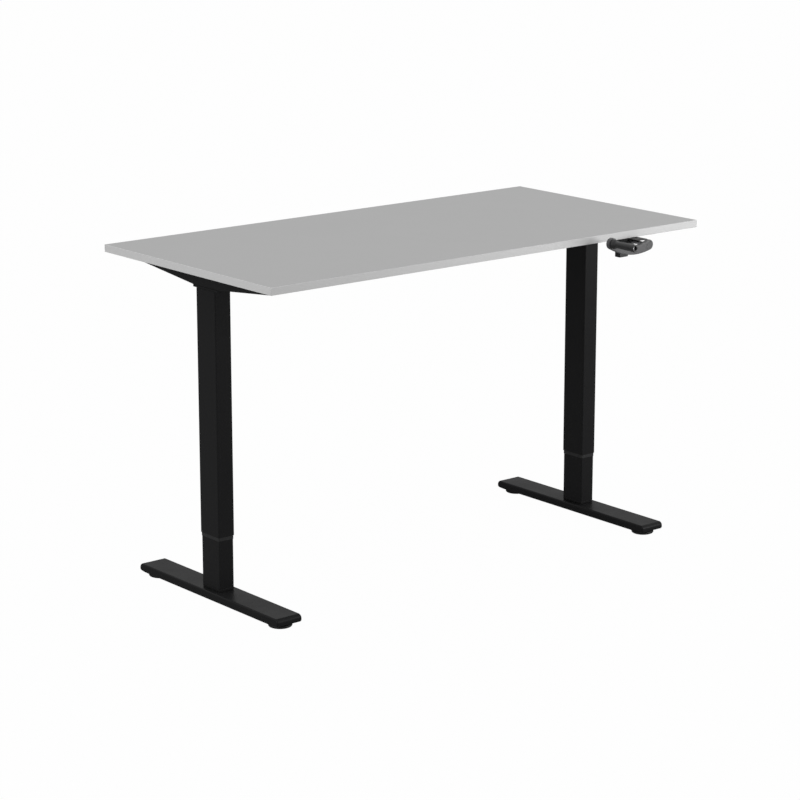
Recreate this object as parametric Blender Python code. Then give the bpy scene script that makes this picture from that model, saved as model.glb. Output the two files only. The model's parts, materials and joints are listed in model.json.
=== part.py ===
"""Height adjustable standing desk with a hand crank.

Metres, +Z up. The origin is on the floor, under the middle of the whole object with
its crank. X runs along the length of the top, and the user stands on the -Y side. Each
leg is a telescopic column: the inner tube stands on the foot, and the outer tube hangs
from the top.
The crank turns a cross shaft through bevel gears, and the cross shaft turns a lead
screw in each column, which climbs in a nut at the top of the inner tube.
"""

from math import atan2, cos, hypot, pi, radians, sin, sqrt

import bmesh
import bpy
from mathutils import Matrix, Vector

# ---------------------------------------------------------------- top
TOP_LENGTH = 1.400
TOP_DEPTH = 0.700
TOP_THICKNESS = 0.019
TOP_HEIGHT = 0.866            # floor to the upper face, as stored
EDGE_BAND = 0.001
GAP = 0.0003                  # between pieces that touch

# ---------------------------------------------------------------- travel
LOWERING = 0.120              # from the stored height down to the lowest
RAISING = 0.310               # and up to the highest
TRAVEL_MARGIN = 0.003

# ---------------------------------------------------------------- columns
LEG_SPACING = 1.232           # centre to centre
OUTER_TUBE = (0.048, 0.078)   # outside, X and Y
OUTER_WALL = 0.0015
OUTER_RADIUS = 0.003
OUTER_TUBE_LENGTH = 0.6234
INNER_WALL = 0.0015
INNER_RADIUS = 0.0024
SLIDE_CLEARANCE = 0.0006      # inner tube in outer tube, each side
GLIDE_RING_HEIGHT = 0.009
GLIDE_RING_WALL = 0.0005
TOP_GLIDE_HEIGHT = 0.007
TOP_GLIDE_HOLE = 0.011

# ---------------------------------------------------------------- feet
FOOT_LENGTH = 0.594
FOOT_WIDTH = 0.076
FOOT_HEIGHT = 0.020
FOOT_CLEARANCE = 0.012        # floor to the lower rim
FOOT_WALL = 0.0025
FOOT_SIDE_RADIUS = 0.0045
FOOT_END_RADIUS = 0.011       # over the top of each end
FOOT_TOE_RADIUS = 0.0065      # and under it
BASE_PLATE_HEIGHT = 0.0075
BASE_BOLT_SPACING = 0.048
BASE_BOLT_RADIUS = 0.004
BASE_BOLT_HEAD = (0.0065, 0.005)    # radius, height
PAD_RADIUS = 0.030
PAD_SPACING = 0.516
STUD_RADIUS = 0.004
STUD_HOLE = 0.0044
BOSS_RADIUS = 0.009

# ---------------------------------------------------------------- top frame
ARM_LENGTH = 0.580
ARM_WIDTH = 0.048
ARM_HEIGHT = 0.0427
ARM_END_HEIGHT = 0.018        # where the long taper would end
ARM_NOSE = (0.030, 0.012)     # length of the blunt nose at each end, and height there
ARM_FLAT = 0.104              # length of the level stretch over the column
ARM_WALL = 0.0025
TOP_PLATE = (0.048, 0.104, 0.0055)
RAIL_SIDE = 0.030             # square tube
RAIL_WALL = 0.0015
RAIL_SPACING = 0.150          # centre to centre, front rail to rear rail
RAIL_LEFT_REACH = 0.150       # where the larger half ends, from the middle
RAIL_RIGHT_REACH = 0.200      # where the smaller half ends, from the middle

# ---------------------------------------------------------------- drive
SHAFT_DROP = 0.0135           # underside of the top to the shafts' axes
CROSS_SHAFT_FLATS = 0.007
CRANK_SHAFT_FLATS = 0.009
SHAFT_CLEARANCE = 0.0004
GEAR_TEETH = 12
GEAR_PITCH_RADIUS = 0.0085
GEAR_FACE = 0.0038
GEAR_NOSE_RADIUS = 0.0047
GEAR_HUB_RADIUS = 0.0062
GEAR_HUB_LENGTH = 0.0050
TOOTH_ADDENDUM = 0.80         # in modules
TOOTH_DEDENDUM = 1.10
TOOTH_WIDTH = 0.42            # share of the pitch, so that the mesh has backlash
TOOTH_TIP_WIDTH = 0.17
HOUSING_WALL = 0.003
LEG_HOUSING_LENGTH = 0.050
CRANK_HOUSING_SIDE = 0.048
CRANK_HOUSING_HEIGHT = 0.032
HOUSING_COVER = (0.072, 0.002)      # side, thickness
SCREW_RADIUS = 0.007
SCREW_JOURNAL = 0.004
SCREW_COLLAR = (0.011, 0.004)       # radius, height
THRUST_BEARING = (0.013, 0.0075, 0.007)   # outer radius, bore radius, height
NUT_HEIGHT = 0.022
NUT_DEPTH = 0.003             # under the rim of the inner tube
NUT_CLEARANCE = 0.0004
SCREW_OVERRUN = 0.020         # screw left under the nut at the highest

# ---------------------------------------------------------------- crank
CRANK_INSET = 0.140           # crank shaft to the right column, centre to centre
CRANK_STANDOFF = 0.050        # front edge of the top to the front of the crank arm
CRANK_ARM_THICKNESS = 0.011
CRANK_THROW = 0.1302
CRANK_LIFT = 0.0175           # grip above hub, as stored
CRANK_SAG = 0.0165            # how far the arm bows below its chord
CRANK_GRIP_END = 0.0150       # half heights along the arm
CRANK_WAIST = 0.0105
CRANK_HUB_END = 0.0135
HUB_COVER = (0.024, 0.011, 0.0022)  # length, width, thickness
HUB_COVER_TILT = radians(34)
GRIP_LENGTH = 0.0797
GRIP_ROOT_RADIUS = 0.0087
GRIP_TIP_RADIUS = 0.0102
GRIP_COLLAR = (0.0125, 0.009)       # radius, length
GRIP_BORE = 0.0044
GRIP_HOLE = (0.0056, 0.009)         # radius and depth of the recess for the pin's head
GRIP_PIN_RADIUS = 0.004
SUPPORT_PLATE_LENGTH = 0.096
SUPPORT_PLATE_THICKNESS = 0.0022
SUPPORT_PLATE_SIDES = (0.029, 0.006)     # left and right of the shaft
SUPPORT_PLATE_SHORT = 0.003         # plate end to crank arm
BEARING_BLOCK_SIDES = (0.0545, 0.0155)   # left and right of the shaft
BEARING_BLOCK_DEPTH = 0.028
BEARING_BLOCK_HEIGHT = 0.0235
BEARING_BLOCK_SETBACK = 0.022       # behind the front edge of the top
BEARING_LUG = (0.030, 0.019, 0.030)      # width, depth, height
BEARING_LUG_OFFSET = 0.0115         # left of the shaft
BUSH_RADIUS = 0.0090

# ---------------------------------------------------------------- worked out
UNDERSIDE = TOP_HEIGHT - TOP_THICKNESS
FOOT_TOP = FOOT_CLEARANCE + FOOT_HEIGHT
LEG_X = LEG_SPACING / 2
SHAFT_Z = UNDERSIDE - SHAFT_DROP
CRANK_X = LEG_X - CRANK_INSET
FRONT = -TOP_DEPTH / 2

ARM_TOP = UNDERSIDE - GAP
ARM_BOTTOM = ARM_TOP - ARM_HEIGHT
TOP_PLATE_TOP = ARM_BOTTOM - GAP
TOP_PLATE_BOTTOM = TOP_PLATE_TOP - TOP_PLATE[2]
OUTER_TOP = TOP_PLATE_BOTTOM - GAP
OUTER_BOTTOM = OUTER_TOP - OUTER_TUBE_LENGTH
BASE_PLATE_BOTTOM = FOOT_TOP + GAP
BASE_PLATE_TOP = BASE_PLATE_BOTTOM + BASE_PLATE_HEIGHT
INNER_BOTTOM = BASE_PLATE_TOP + GAP
INNER_TUBE = tuple(side - 2 * (OUTER_WALL + SLIDE_CLEARANCE) for side in OUTER_TUBE)

BEARING_TOP = TOP_PLATE_BOTTOM - GAP
BEARING_BOTTOM = BEARING_TOP - THRUST_BEARING[2]
COLLAR_TOP = BEARING_BOTTOM - GAP
COLLAR_BOTTOM = COLLAR_TOP - SCREW_COLLAR[1]
TOP_GLIDE_TOP = COLLAR_BOTTOM - LOWERING - TRAVEL_MARGIN
TOP_GLIDE_BOTTOM = TOP_GLIDE_TOP - TOP_GLIDE_HEIGHT
INNER_TOP = TOP_GLIDE_BOTTOM - GAP
NUT_TOP = INNER_TOP - NUT_DEPTH
NUT_BOTTOM = NUT_TOP - NUT_HEIGHT
SCREW_BOTTOM = NUT_BOTTOM - RAISING - SCREW_OVERRUN

GEAR_CONE = GEAR_PITCH_RADIUS * sqrt(2)           # apex to the large end
GEAR_NOSE = (GEAR_CONE - GEAR_FACE) / sqrt(2)     # apex to the small end, along the axis
GEAR_HEEL = GEAR_PITCH_RADIUS + GEAR_HUB_LENGTH   # apex to the back of the hub
SHAFT_STOP = GEAR_NOSE - GAP                      # a shaft ends this far from the apex

CRANK_FRONT = FRONT - CRANK_STANDOFF
CRANK_BACK = CRANK_FRONT + CRANK_ARM_THICKNESS
GRIP_X = CRANK_X - sqrt(CRANK_THROW**2 - CRANK_LIFT**2)
GRIP_Z = SHAFT_Z + CRANK_LIFT
GRIP_TIP = CRANK_FRONT - GAP - GRIP_LENGTH
MIDDLE_Y = (GRIP_TIP + TOP_DEPTH / 2) / 2         # of the whole, from the middle of the top
SUPPORT_PLATE_FRONT = CRANK_BACK + SUPPORT_PLATE_SHORT
SUPPORT_PLATE_BOTTOM = ARM_TOP - SUPPORT_PLATE_THICKNESS
BLOCK_FRONT = FRONT + BEARING_BLOCK_SETBACK
BLOCK_TOP = SUPPORT_PLATE_BOTTOM - GAP

ROUND = 16                    # sides of a small turned piece
ROUND_LARGE = 32


# ---------------------------------------------------------------- materials
def material(name, colour, roughness, metallic=0.0):
    made = bpy.data.materials.new(name)
    made.use_nodes = True
    shader = made.node_tree.nodes["Principled BSDF"]
    shader.inputs["Base Color"].default_value = (*colour, 1.0)
    shader.inputs["Roughness"].default_value = roughness
    shader.inputs["Metallic"].default_value = metallic
    made.diffuse_color = (*colour, 1.0)
    return made


MATERIALS = {}


def make_materials():
    MATERIALS.update(
        board=material("board_laminate", (0.43, 0.43, 0.43), 0.45),
        band=material("edge_band", (0.52, 0.52, 0.52), 0.40),
        frame=material("black_powder_coat", (0.018, 0.018, 0.019), 0.42),
        plastic=material("black_plastic", (0.030, 0.030, 0.031), 0.50),
        crank=material("crank_plastic", (0.085, 0.085, 0.087), 0.48),
        grip=material("grip_plastic", (0.035, 0.035, 0.036), 0.40),
        pad=material("pad_plastic", (0.012, 0.012, 0.012), 0.60),
        zinc=material("zinc_plated_steel", (0.72, 0.72, 0.73), 0.28, 1.0),
        steel=material("plain_steel", (0.45, 0.45, 0.46), 0.35, 1.0),
        housing=material("cast_housing", (0.20, 0.20, 0.21), 0.55),
        nut=material("nut_polymer", (0.75, 0.73, 0.66), 0.45),
        gear=material("gear_steel", (0.38, 0.38, 0.39), 0.38, 1.0),
    )


# ---------------------------------------------------------------- mesh helpers
def finish(name, bm, finish_name, smooth_angle=30):
    """Turns a bmesh into a named object with outward faces and its own material."""
    bmesh.ops.remove_doubles(bm, verts=bm.verts, dist=1e-7)
    bmesh.ops.recalc_face_normals(bm, faces=bm.faces)
    mesh = bpy.data.meshes.new(name)
    bm.to_mesh(mesh)
    bm.free()
    mesh.shade_smooth()
    mesh.set_sharp_from_angle(angle=radians(smooth_angle))
    mesh.materials.append(MATERIALS[finish_name])
    obj = bpy.data.objects.new(name, mesh)
    bpy.context.scene.collection.objects.link(obj)
    return obj


def axis_frame(axis, towards):
    """A matrix whose Z is axis and whose X is towards."""
    z = Vector(axis).normalized()
    x = Vector(towards).normalized()
    return Matrix((x, z.cross(x), z)).transposed().to_4x4()


UP = axis_frame((0, 0, 1), (1, 0, 0))
ALONG_X = axis_frame((1, 0, 0), (0, 1, 0))
ALONG_Y = axis_frame((0, 1, 0), (0, 0, 1))


def rounded_rectangle(width, height, radius, steps=4):
    """Corners of a rectangle with round corners, anticlockwise about its middle."""
    if radius <= 0:
        return [(sx * width / 2, sy * height / 2)
                for sx, sy in ((1, 1), (-1, 1), (-1, -1), (1, -1))]
    points = []
    for quarter, (sx, sy) in enumerate(((1, 1), (-1, 1), (-1, -1), (1, -1))):
        middle = (sx * (width / 2 - radius), sy * (height / 2 - radius))
        for step in range(steps + 1):
            angle = (quarter + step / steps) * pi / 2
            points.append((middle[0] + radius * cos(angle), middle[1] + radius * sin(angle)))
    return points


def add_prism(bm, outline, frame, low, high):
    """Extrudes a flat outline from low to high along the frame's Z."""
    ring = [bm.verts.new(frame @ Vector((x, y, low))) for x, y in outline]
    face = bm.faces.new(ring)
    moved = bmesh.ops.extrude_face_region(bm, geom=[face])["geom"]
    up = frame.to_3x3() @ Vector((0, 0, high - low))
    bmesh.ops.translate(bm, vec=up, verts=[v for v in moved if isinstance(v, bmesh.types.BMVert)])


def prism(name, outline, frame, low, high, finish_name):
    bm = bmesh.new()
    add_prism(bm, outline, frame, low, high)
    return finish(name, bm, finish_name)


def box(name, low, high, finish_name, bevel=0.0, segments=2):
    """A box between two corners, with its edges rounded by bevel."""
    bm = bmesh.new()
    size = Vector(high) - Vector(low)
    middle = (Vector(high) + Vector(low)) / 2
    bmesh.ops.create_cube(bm, size=1, matrix=Matrix.Translation(middle) @ Matrix.Diagonal((*size, 1)))
    if bevel:
        bmesh.ops.bevel(bm, geom=bm.edges[:], offset=bevel, segments=segments, profile=0.5,
                        affect="EDGES", clamp_overlap=True)
    return finish(name, bm, finish_name)


def add_turned(bm, frame, profile, sides):
    """Joins rings of (place along the axis, radius) into a solid with flat ends."""
    rings = []
    for along, radius in profile:
        rings.append([
            bm.verts.new(frame @ Vector((radius * cos(2 * pi * k / sides),
                                         radius * sin(2 * pi * k / sides), along)))
            for k in range(sides)
        ])
    for first, second in zip(rings, rings[1:]):
        bridge(bm, first, second)
    bm.faces.new(rings[0])
    bm.faces.new(rings[-1])


def bridge(bm, first, second):
    count = len(first)
    for k in range(count):
        bm.faces.new((first[k], first[(k + 1) % count], second[(k + 1) % count], second[k]))


def turned(name, frame, profile, finish_name, sides=ROUND):
    bm = bmesh.new()
    add_turned(bm, frame, profile, sides)
    return finish(name, bm, finish_name)


def turned_ring(name, frame, profile, finish_name, sides=ROUND):
    """A turned piece with a bore: the profile is a closed loop of (along, radius)."""
    bm = bmesh.new()
    rings = [
        [bm.verts.new(frame @ Vector((radius * cos(2 * pi * k / sides),
                                      radius * sin(2 * pi * k / sides), along)))
         for k in range(sides)]
        for along, radius in profile
    ]
    for first, second in zip(rings, rings[1:] + rings[:1]):
        bridge(bm, first, second)
    return finish(name, bm, finish_name)


def at(x, y, z, frame=UP):
    return Matrix.Translation((x, y, z)) @ frame


def cutter(bm, name):
    """A hidden solid for a Boolean."""
    bmesh.ops.recalc_face_normals(bm, faces=bm.faces)
    mesh = bpy.data.meshes.new(name)
    bm.to_mesh(mesh)
    bm.free()
    obj = bpy.data.objects.new(name, mesh)
    bpy.context.scene.collection.objects.link(obj)
    obj.hide_render = True
    obj.display_type = "WIRE"
    return obj


def box_cutter(name, low, high):
    bm = bmesh.new()
    size = Vector(high) - Vector(low)
    middle = (Vector(high) + Vector(low)) / 2
    bmesh.ops.create_cube(bm, size=1, matrix=Matrix.Translation(middle) @ Matrix.Diagonal((*size, 1)))
    return cutter(bm, name)


def hole_cutter(name, frame, radius, low, high, sides=ROUND):
    bm = bmesh.new()
    add_turned(bm, frame, [(low, radius), (high, radius)], sides)
    return cutter(bm, name)


def boolean(obj, other, operation="DIFFERENCE"):
    modifier = obj.modifiers.new(other.name, "BOOLEAN")
    modifier.operation = operation
    modifier.object = other
    modifier.solver = "EXACT"
    return obj


def parent_to(joint_name, location, pieces):
    """Hangs pieces on an empty that stands on their joint's axis."""
    empty = bpy.data.objects.new(joint_name, None)
    empty.location = location
    empty.empty_display_size = 0.03
    bpy.context.scene.collection.objects.link(empty)
    for piece in pieces:
        piece.parent = empty
        piece.matrix_parent_inverse = Matrix.Translation(-Vector(location))


# ---------------------------------------------------------------- top
def make_top():
    core = EDGE_BAND + GAP
    half = (TOP_LENGTH / 2, TOP_DEPTH / 2)
    low, high = UNDERSIDE, TOP_HEIGHT
    pieces = [
        box("tabletop", (core - half[0], core - half[1], low), (half[0] - core, half[1] - core, high),
            "board"),
    ]
    for name, side in (("front", -1), ("rear", 1)):
        y = sorted((side * half[1], side * (half[1] - EDGE_BAND)))
        pieces.append(box(f"{name}_edge_band", (-half[0], y[0], low), (half[0], y[1], high),
                          "band", bevel=EDGE_BAND * 0.35, segments=2))
    for name, side in (("left", -1), ("right", 1)):
        x = sorted((side * half[0], side * (half[0] - EDGE_BAND)))
        y = half[1] - core
        pieces.append(box(f"{name}_edge_band", (x[0], -y, low), (x[1], y, high),
                          "band", bevel=EDGE_BAND * 0.35, segments=2))
    return pieces


# ---------------------------------------------------------------- feet
def foot_profile(steps=5):
    """Side view of a foot, as (y, z), with its ends rounded over and under."""
    half = FOOT_LENGTH / 2
    corners = ((1, 1, FOOT_TOP, FOOT_END_RADIUS), (-1, 1, FOOT_TOP, FOOT_END_RADIUS),
               (-1, -1, FOOT_CLEARANCE, FOOT_TOE_RADIUS), (1, -1, FOOT_CLEARANCE, FOOT_TOE_RADIUS))
    points = []
    for quarter, (side, up, level, radius) in enumerate(corners):
        for step in range(steps + 1):
            angle = (quarter + step / steps) * pi / 2
            points.append((side * (half - radius) + radius * cos(angle),
                           level - up * radius + radius * sin(angle)))
    return points


def make_foot(side_name, x):
    """A pressed channel, open below, with a welded boss over each levelling stud."""
    bm = bmesh.new()
    frame = Matrix(((0, 0, 1, x), (1, 0, 0, 0), (0, 1, 0, 0), (0, 0, 0, 1)))
    add_prism(bm, foot_profile(), frame, -FOOT_WIDTH / 2, FOOT_WIDTH / 2)
    sides = [e for e in bm.edges
             if any(abs(abs(f.normal.x) - 1) < 1e-3 for f in e.link_faces)
             and max(v.co.z for v in e.verts) > FOOT_CLEARANCE + FOOT_TOE_RADIUS / 2]
    bmesh.ops.bevel(bm, geom=sides, offset=FOOT_SIDE_RADIUS, segments=3, profile=0.5,
                    affect="EDGES")
    foot = finish(f"{side_name}_foot", bm, "frame")

    wall = FOOT_WALL
    inside = box_cutter(
        f"cut_{side_name}_foot_inside",
        (x - FOOT_WIDTH / 2 + wall, -FOOT_LENGTH / 2 + FOOT_END_RADIUS, FOOT_CLEARANCE - wall),
        (x + FOOT_WIDTH / 2 - wall, FOOT_LENGTH / 2 - FOOT_END_RADIUS, FOOT_TOP - wall),
    )
    boolean(foot, inside)
    for y in (-PAD_SPACING / 2, PAD_SPACING / 2):
        end = "front" if y < 0 else "rear"
        boss = hole_cutter(f"add_{side_name}_{end}_boss", at(x, y, 0), BOSS_RADIUS,
                           FOOT_CLEARANCE + wall, FOOT_TOP - wall / 2)
        boolean(foot, boss, "UNION")
        boolean(foot, hole_cutter(f"cut_{side_name}_{end}_stud_hole", at(x, y, 0), STUD_HOLE,
                                  FOOT_CLEARANCE - wall, FOOT_TOP - wall))
        bolt_y = BASE_BOLT_SPACING / 2 * (1 if y > 0 else -1)
        boolean(foot, hole_cutter(f"cut_{side_name}_{end}_bolt_hole", at(x, bolt_y, 0),
                                  BASE_BOLT_RADIUS + GAP, FOOT_CLEARANCE, FOOT_TOP + wall))
    return foot


def make_levelling_foot(name, x, y):
    """A moulded pad on a stud that screws up into the foot's boss."""
    pad_top = FOOT_CLEARANCE - GAP
    stud_top = FOOT_TOP - FOOT_WALL - 2 * GAP
    profile = [
        (0, PAD_RADIUS - 0.0015),
        (0.0020, PAD_RADIUS),
        (pad_top - 0.0025, PAD_RADIUS),
        (pad_top, PAD_RADIUS - 0.0025),
        (pad_top, STUD_RADIUS),
        (stud_top - 0.0008, STUD_RADIUS),
        (stud_top, STUD_RADIUS - 0.0008),
    ]
    pad = turned(name, at(x, y, 0), profile, "pad", ROUND_LARGE)
    parent_to(f"axis_{name}", (x, y, 0), [pad])
    return pad


def make_base_plate(side_name, x):
    """The block at the foot of the inner tube, bolted on from below."""
    bm = bmesh.new()
    outline = rounded_rectangle(*INNER_TUBE, INNER_RADIUS)
    add_prism(bm, outline, at(x, 0, 0), BASE_PLATE_BOTTOM, BASE_PLATE_TOP)
    rims = [e for e in bm.edges if abs(e.verts[0].co.z - e.verts[1].co.z) < 1e-7]
    bmesh.ops.bevel(bm, geom=rims, offset=0.0008, segments=1, affect="EDGES")
    plate = finish(f"{side_name}_base_plate", bm, "frame")
    for end, sign in (("front", -1), ("rear", 1)):
        y = sign * BASE_BOLT_SPACING / 2
        boolean(plate, hole_cutter(f"cut_{side_name}_{end}_plate_hole", at(x, y, 0),
                                   BASE_BOLT_RADIUS + GAP, FOOT_TOP - FOOT_WALL, BASE_PLATE_TOP + FOOT_WALL))
    return plate


def make_base_bolt(name, x, y):
    """A bolt from below, with its head under the top wall of the foot."""
    head_radius, head_height = BASE_BOLT_HEAD
    head_top = FOOT_TOP - FOOT_WALL - GAP
    profile = [
        (head_top - head_height, head_radius - 0.0008),
        (head_top - head_height + 0.0008, head_radius),
        (head_top, head_radius),
        (head_top, BASE_BOLT_RADIUS),
        (BASE_PLATE_TOP - GAP, BASE_BOLT_RADIUS),
    ]
    return turned(name, at(x, y, 0), profile, "zinc")


# ---------------------------------------------------------------- columns
def rectangular_tube(name, x, size, radius, wall, low, high):
    """A drawn tube: the outer outline with a smaller one cut through it."""
    bm = bmesh.new()
    frame = at(x, 0, 0)
    rings = []
    for inset, z in ((0, low), (0, high), (wall, high), (wall, low)):
        outline = rounded_rectangle(size[0] - 2 * inset, size[1] - 2 * inset,
                                    max(radius - inset, 0.0004))
        rings.append([bm.verts.new(frame @ Vector((px, py, z))) for px, py in outline])
    for first, second in zip(rings, rings[1:] + rings[:1]):
        bridge(bm, first, second)
    return finish(name, bm, "frame")


def make_column(side_name, x):
    inner = rectangular_tube(f"{side_name}_inner_tube", x, INNER_TUBE, INNER_RADIUS, INNER_WALL,
                             INNER_BOTTOM, INNER_TOP)
    outer = rectangular_tube(f"{side_name}_outer_tube", x, OUTER_TUBE, OUTER_RADIUS, OUTER_WALL,
                             OUTER_BOTTOM, OUTER_TOP)
    ring_inside = tuple(side + 2 * GAP for side in INNER_TUBE)
    ring_outside = tuple(side + 2 * GLIDE_RING_WALL for side in ring_inside)
    ring = rectangular_tube(f"{side_name}_glide_ring", x, ring_outside, OUTER_RADIUS,
                            GLIDE_RING_WALL, OUTER_BOTTOM - GAP - GLIDE_RING_HEIGHT,
                            OUTER_BOTTOM - GAP)
    ring.data.materials[0] = MATERIALS["plastic"]

    bore = tuple(side - 2 * (OUTER_WALL + GAP) for side in OUTER_TUBE)
    glide = prism(f"{side_name}_top_glide", rounded_rectangle(*bore, INNER_RADIUS), at(x, 0, 0),
                  TOP_GLIDE_BOTTOM, TOP_GLIDE_TOP, "nut")
    boolean(glide, hole_cutter(f"cut_{side_name}_top_glide", at(x, 0, 0), TOP_GLIDE_HOLE,
                               TOP_GLIDE_BOTTOM - GAP, TOP_GLIDE_TOP + GAP))
    nut_size = tuple(side - 2 * (INNER_WALL + GAP) for side in INNER_TUBE)
    nut = prism(f"{side_name}_screw_nut", rounded_rectangle(*nut_size, 0.0015), at(x, 0, 0),
                NUT_BOTTOM, NUT_TOP, "nut")
    boolean(nut, hole_cutter(f"cut_{side_name}_nut", at(x, 0, 0), SCREW_RADIUS + NUT_CLEARANCE,
                             NUT_BOTTOM - GAP, NUT_TOP + GAP))

    plate = prism(f"{side_name}_top_plate", rounded_rectangle(TOP_PLATE[0], TOP_PLATE[1], 0.002),
                  at(x, 0, 0), TOP_PLATE_BOTTOM, TOP_PLATE_TOP, "frame")
    boolean(plate, hole_cutter(f"cut_{side_name}_top_plate", at(x, 0, 0),
                               SCREW_JOURNAL + SHAFT_CLEARANCE,
                               TOP_PLATE_BOTTOM - GAP, TOP_PLATE_TOP + GAP))
    outer_radius, bore_radius, _ = THRUST_BEARING
    bearing = turned_ring(
        f"{side_name}_thrust_bearing", at(x, 0, 0),
        [(BEARING_BOTTOM, bore_radius), (BEARING_BOTTOM, outer_radius - 0.0006),
         (BEARING_BOTTOM + 0.0006, outer_radius), (BEARING_TOP - 0.0006, outer_radius),
         (BEARING_TOP, outer_radius - 0.0006), (BEARING_TOP, bore_radius)],
        "steel", ROUND)
    return [inner, outer, ring, glide, nut, plate, bearing]


def make_lead_screw(side_name, x):
    """The screw hangs from its thrust bearing, and its journal carries the bevel gear."""
    collar_radius = SCREW_COLLAR[0]
    profile = [
        (SCREW_BOTTOM, SCREW_RADIUS - 0.0015),
        (SCREW_BOTTOM + 0.0015, SCREW_RADIUS),
        (COLLAR_BOTTOM, SCREW_RADIUS),
        (COLLAR_BOTTOM, collar_radius),
        (COLLAR_TOP, collar_radius),
        (COLLAR_TOP, SCREW_JOURNAL),
        (SHAFT_Z - SHAFT_STOP, SCREW_JOURNAL),
    ]
    screw = turned(f"{side_name}_lead_screw", at(x, 0, 0), profile, "zinc")
    inward = 1 if x < 0 else -1
    gear = bevel_gear(f"{side_name}_screw_gear", (x, 0, SHAFT_Z), (0, 0, -1), (inward, 0, 0), False,
                      UP, SCREW_JOURNAL, ROUND)
    parent_to(f"axis_{side_name}_screw", (x, 0, SHAFT_Z), [screw, gear])


# ---------------------------------------------------------------- bevel gears
def bevel_gear(name, apex, axis, towards, tooth_first, bore_frame, bore_radius, bore_sides):
    """A mitre gear with straight teeth that narrow towards the apex.

    axis points from the apex to the gear, and towards points at its mate. A gear has
    either a tooth or a gap facing its mate.
    """
    frame = at(*apex, axis_frame(axis, towards))
    module = 2 * GEAR_PITCH_RADIUS / GEAR_TEETH
    tip = pi / 4 + TOOTH_ADDENDUM * module / GEAR_CONE
    root = pi / 4 - TOOTH_DEDENDUM * module / GEAR_CONE
    root_width = 2 * TOOTH_WIDTH - TOOTH_TIP_WIDTH
    marks = [(-root_width / 2, root), (-TOOTH_TIP_WIDTH / 2, tip),
             (TOOTH_TIP_WIDTH / 2, tip), (root_width / 2, root)]
    start = 0 if tooth_first else 0.5
    angles = [((tooth + start + share) * 2 * pi / GEAR_TEETH, height)
              for tooth in range(GEAR_TEETH) for share, height in marks]

    def toothed(distance):
        return [(distance * sin(height) * cos(angle), distance * sin(height) * sin(angle),
                 distance * cos(height)) for angle, height in angles]

    def plain(radius, along):
        return [(radius * cos(angle), radius * sin(angle), along) for angle, _ in angles]

    loops = [
        plain(GEAR_NOSE_RADIUS, GEAR_NOSE),
        toothed(GEAR_CONE - GEAR_FACE),
        toothed(GEAR_CONE),
        plain(GEAR_HUB_RADIUS, GEAR_PITCH_RADIUS + module),
        plain(GEAR_HUB_RADIUS, GEAR_HEEL),
    ]
    bm = bmesh.new()
    rings = [[bm.verts.new(frame @ Vector(point)) for point in loop] for loop in loops]
    for first, second in zip(rings, rings[1:]):
        bridge(bm, first, second)
    bm.faces.new(rings[0])
    bm.faces.new(rings[-1])
    gear = finish(name, bm, "gear")
    return boolean(gear, hole_cutter(f"cut_{name}", at(*apex, bore_frame), bore_radius + GAP / 2,
                                     -GEAR_HEEL - GAP, GEAR_HEEL + GAP, bore_sides))


def hexagon_radius(flats):
    return flats / 2 / cos(pi / 6)


# ---------------------------------------------------------------- top frame
def arm_outline(inset, web):
    """Side view of the side arm, as (y, z): level over the column, tapered to a blunt nose."""
    half, flat = ARM_LENGTH / 2 - inset, ARM_FLAT / 2
    nose_length, nose_height = ARM_NOSE
    nose = half - nose_length
    slope = (ARM_HEIGHT - ARM_END_HEIGHT) / (ARM_LENGTH / 2 - flat)
    rear = [(flat, ARM_BOTTOM), (nose, ARM_BOTTOM + slope * (nose - flat)),
            (half, ARM_TOP - nose_height), (half, ARM_TOP - web)]
    return [(-y, z) for y, z in reversed(rear)] + rear


def make_side_arm(side_name, x):
    """A tapered channel with its web against the top, open below."""
    frame = Matrix(((0, 0, 1, x), (1, 0, 0, 0), (0, 1, 0, 0), (0, 0, 0, 1)))
    half = ARM_WIDTH / 2
    bm = bmesh.new()
    add_prism(bm, arm_outline(0, 0), frame, -half, half)
    ends = [e for e in bm.edges
            if all(abs(abs(v.co.y) - ARM_LENGTH / 2) < 1e-6 for v in e.verts)
            and abs(e.verts[0].co.x - e.verts[1].co.x) < 1e-6]
    bmesh.ops.bevel(bm, geom=ends, offset=0.004, segments=3, profile=0.5, affect="EDGES")
    arm = finish(f"{side_name}_side_arm", bm, "frame")

    inside = bmesh.new()
    lowered = [(y, z - ARM_HEIGHT if z < ARM_TOP - ARM_WALL - 1e-6 else z)
               for y, z in arm_outline(ARM_WALL, ARM_WALL)]
    add_prism(inside, lowered, frame, -half + ARM_WALL, half - ARM_WALL)
    boolean(arm, cutter(inside, f"cut_{side_name}_arm_inside"))
    inward = 1 if x < 0 else -1
    hole = hole_cutter(f"cut_{side_name}_arm_shaft_hole", at(x + inward * half, 0, SHAFT_Z, ALONG_X),
                       hexagon_radius(CROSS_SHAFT_FLATS) + 2 * SHAFT_CLEARANCE, -2 * ARM_WALL, 2 * ARM_WALL)
    return boolean(arm, hole)


def square_tube(name, y, side, low, high):
    """A rail along X, open at both ends, hung just under the top."""
    middle = ARM_TOP - RAIL_SIDE / 2
    frame = at(0, y, middle, ALONG_X)
    bm = bmesh.new()
    rings = []
    for inset, x in ((0, low), (0, high), (RAIL_WALL, high), (RAIL_WALL, low)):
        outline = rounded_rectangle(side - 2 * inset, side - 2 * inset, max(0.002 - inset, 0.0005), 2)
        rings.append([bm.verts.new(frame @ Vector((px, py, x))) for px, py in outline])
    for first, second in zip(rings, rings[1:] + rings[:1]):
        bridge(bm, first, second)
    return finish(name, bm, "frame")


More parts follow.
